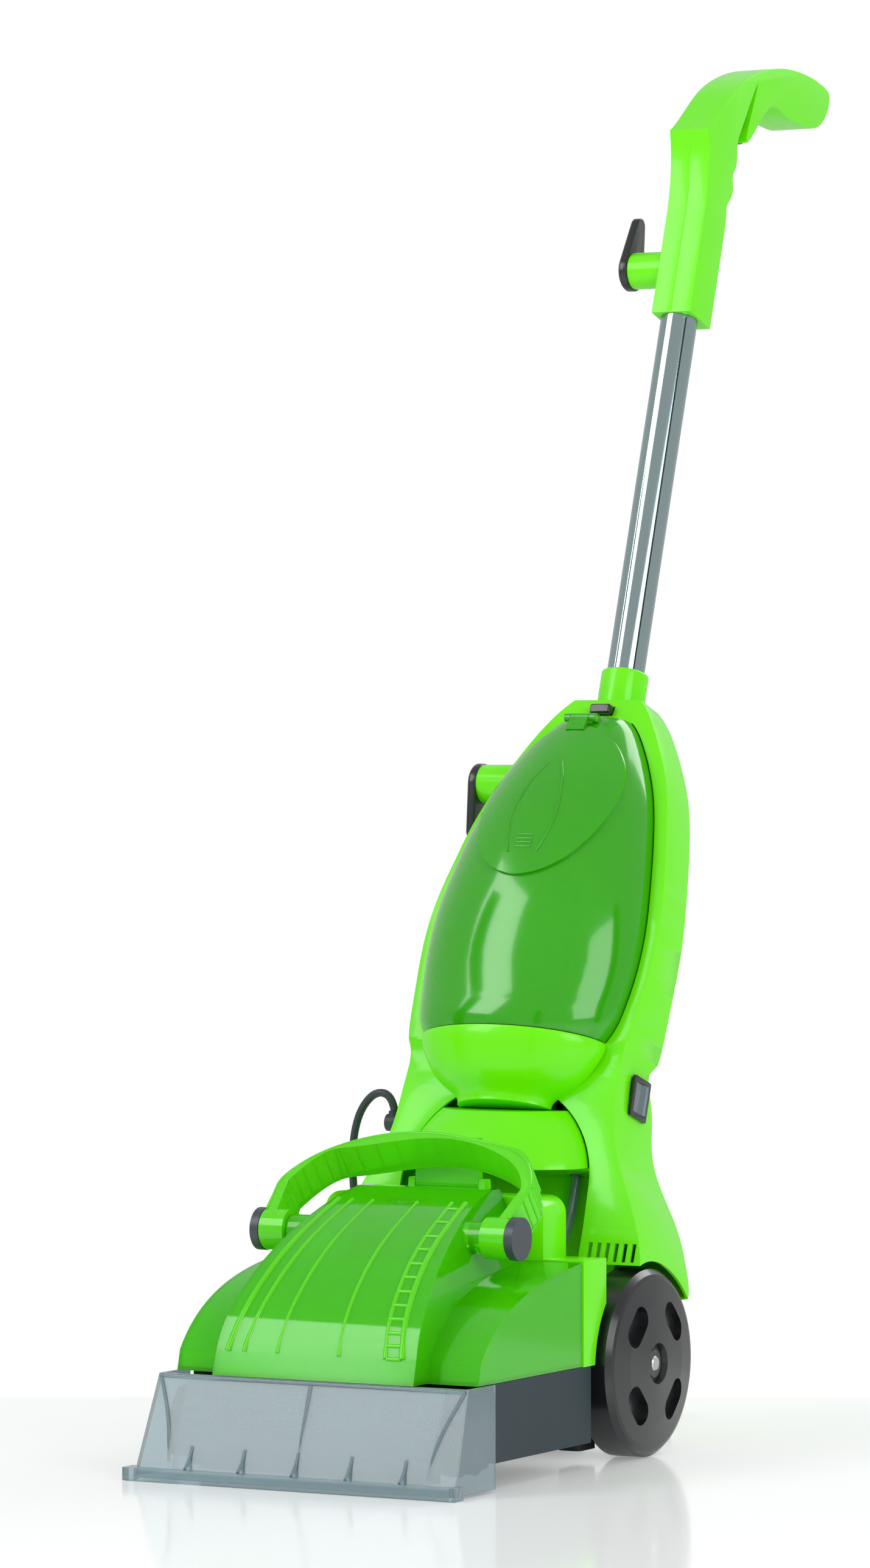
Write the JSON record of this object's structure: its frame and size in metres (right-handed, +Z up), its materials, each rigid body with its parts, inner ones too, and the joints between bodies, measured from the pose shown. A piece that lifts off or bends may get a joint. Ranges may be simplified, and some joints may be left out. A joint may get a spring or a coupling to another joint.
{
  "type": "upright carpet cleaner",
  "caption": "Upright carpet cleaner with a clear water tank on a reclining column, a lift-off recovery tank, a powered brush nozzle, wheels, a tube handle and a cord.",
  "frame": {"origin": "on the floor under the middle of the machine's width and length, measured without the free cord", "axes": "+Z up, -Y towards the nozzle at the front, +X towards the side with the rocker switch"},
  "size_m": [0.3052, 0.9195, 1.1426],
  "materials": {
    "lime_shell": "satin lime green moulded plastic",
    "clear_green": "translucent green moulded plastic",
    "clear_grey": "clear grey-tinted moulded plastic",
    "slate_plastic": "dark slate moulded plastic",
    "black_plastic": "gloss black moulded plastic",
    "black_rubber": "matt black rubber",
    "tube_chrome": "bright chrome plated steel",
    "bright_steel": "zinc plated steel",
    "motor_case": "painted motor case",
    "grey_bristle": "grey nylon tufts and core",
    "cord_sheath": "dark grey cord sheath",
    "clear_plastic": "clear plastic"
  },
  "bodies": {
    "base": {"base_chassis": "slate_plastic", "base_cover": "lime_shell", "nozzle_shell": "clear_grey", "suction_channel": "clear_grey", "wheel_axle": "bright_steel", "axle_clips": "black_plastic", "brush_motor": "motor_case", "solution_pump": "slate_plastic", "spray_bar": "black_plastic", "pump_hose": "clear_plastic", "suction_hose": "slate_plastic", "drive_belt": "black_rubber", "skid_pads": "black_rubber", "base_screws": "bright_steel", "latch_pivot": "lime_shell", "mains_cord": "cord_sheath", "cord_coil": "cord_sheath", "coil_tie": "black_plastic", "mains_plug": "cord_sheath"},
    "brush": {"brush_core": "grey_bristle", "brush_bristles": "grey_bristle", "brush_pulley": "black_plastic"},
    "motor_pulley": {"motor_pulley": "bright_steel"},
    "wheel_left": {"wheel_left": "black_plastic"},
    "wheel_right": {"wheel_right": "black_plastic"},
    "column": {"lower_housing": "lime_shell", "upper_housing": "lime_shell", "tank_bowl": "lime_shell", "motor_cover": "lime_shell", "suction_motor": "motor_case", "tube_collar": "lime_shell", "handle_tube": "tube_chrome", "grip_left": "lime_shell", "grip_right": "lime_shell", "lower_cord_hook": "black_plastic", "switch_bezel": "black_plastic", "cord_gland": "cord_sheath", "control_cable": "cord_sheath", "trigger_pin": "bright_steel", "trigger_spring": "bright_steel", "latch_spring": "bright_steel", "supply_hose": "clear_plastic"},
    "impeller": {"impeller": "bright_steel"},
    "upper_hook": {"upper_cord_hook": "black_plastic"},
    "trigger": {"trigger": "black_plastic"},
    "rocker": {"rocker_switch": "clear_grey"},
    "clean_tank": {"clean_tank": "clear_green", "fill_funnel": "clear_green", "pickup_tube": "clear_plastic", "tank_valve": "clear_plastic", "lid_pin": "bright_steel"},
    "tank_lid": {"tank_lid": "clear_green"},
    "latch_button": {"latch_button": "black_plastic"},
    "recovery_tank": {"recovery_tank": "clear_green", "tank_partition": "clear_green", "float_valve": "clear_plastic", "tank_screen": "clear_green", "pivot_caps": "black_plastic"},
    "tank_handle": {"tank_handle": "clear_green"},
    "recovery_latch": {"recovery_latch": "lime_shell"}
  },
  "joints": [
    {"name": "recline", "type": "hinge", "parent": "base", "child": "column", "pos_m": [0, -0.134, 0.073], "axis": [-1, 0, 0], "range_deg": [0, 45], "deforming": ["mains_cord", "suction_hose", "supply_hose"]},
    {"name": "brush_spin", "type": "hinge", "parent": "base", "child": "brush", "pos_m": [0, -0.398, 0.028], "axis": [1, 0, 0], "continuous": true},
    {"name": "motor_spin", "type": "hinge", "parent": "base", "child": "motor_pulley", "pos_m": [0, -0.324, 0.05], "axis": [1, 0, 0], "continuous": true},
    {"name": "wheel_left_spin", "type": "hinge", "parent": "base", "child": "wheel_left", "pos_m": [0, -0.134, 0.073], "axis": [1, 0, 0], "continuous": true},
    {"name": "wheel_right_spin", "type": "hinge", "parent": "base", "child": "wheel_right", "pos_m": [0, -0.134, 0.073], "axis": [1, 0, 0], "continuous": true},
    {"name": "impeller_spin", "type": "hinge", "parent": "column", "child": "impeller", "pos_m": [0, -0.11485, 0.22477], "axis": [0, 0.3173, 0.9483], "continuous": true},
    {"name": "upper_hook_swivel", "type": "hinge", "parent": "column", "child": "upper_hook", "pos_m": [-0.052, 0.21264, 0.95773], "axis": [1, 0, 0], "range_deg": [0, 180]},
    {"name": "trigger_pull", "type": "hinge", "parent": "column", "child": "trigger", "pos_m": [0, 0.29217, 1.09456], "axis": [-1, 0, 0], "range_deg": [0, 12], "stiffness_Nm_per_rad": 0.6, "deforming": ["trigger_spring"]},
    {"name": "rocker_press", "type": "hinge", "parent": "column", "child": "rocker", "pos_m": [0.0962, -0.07084, 0.27437], "axis": [0, 0.3173, 0.9483], "range_deg": [0, 14]},
    {"name": "tank_lift_off", "type": "slide", "parent": "column", "child": "clean_tank", "axis": [0, -0.9483, 0.3173], "range_m": [0, 0.12]},
    {"name": "lid_hinge", "type": "hinge", "parent": "clean_tank", "child": "tank_lid", "pos_m": [0, 0.01805, 0.57784], "axis": [-1, 0, 0], "range_deg": [0, 80]},
    {"name": "latch_press", "type": "slide", "parent": "column", "child": "latch_button", "axis": [0, 0.9483, -0.3173], "range_m": [0, 0.004], "stiffness_N_per_m": 250, "deforming": ["latch_spring"]},
    {"name": "recovery_lift_off", "type": "slide", "parent": "base", "child": "recovery_tank", "axis": [0, 0, 1], "range_m": [0, 0.15]},
    {"name": "handle_swing", "type": "hinge", "parent": "recovery_tank", "child": "tank_handle", "pos_m": [0, -0.302, 0.18], "axis": [1, 0, 0], "range_deg": [0, 75]},
    {"name": "latch_tilt", "type": "hinge", "parent": "base", "child": "recovery_latch", "pos_m": [0, -0.206, 0.213], "axis": [-1, 0, 0], "range_deg": [0, 12], "stiffness_Nm_per_rad": 0.8}
  ],
  "couplings": [
    {"joint": "motor_spin", "follows": "brush_spin", "ratio": 1.7778}
  ]
}
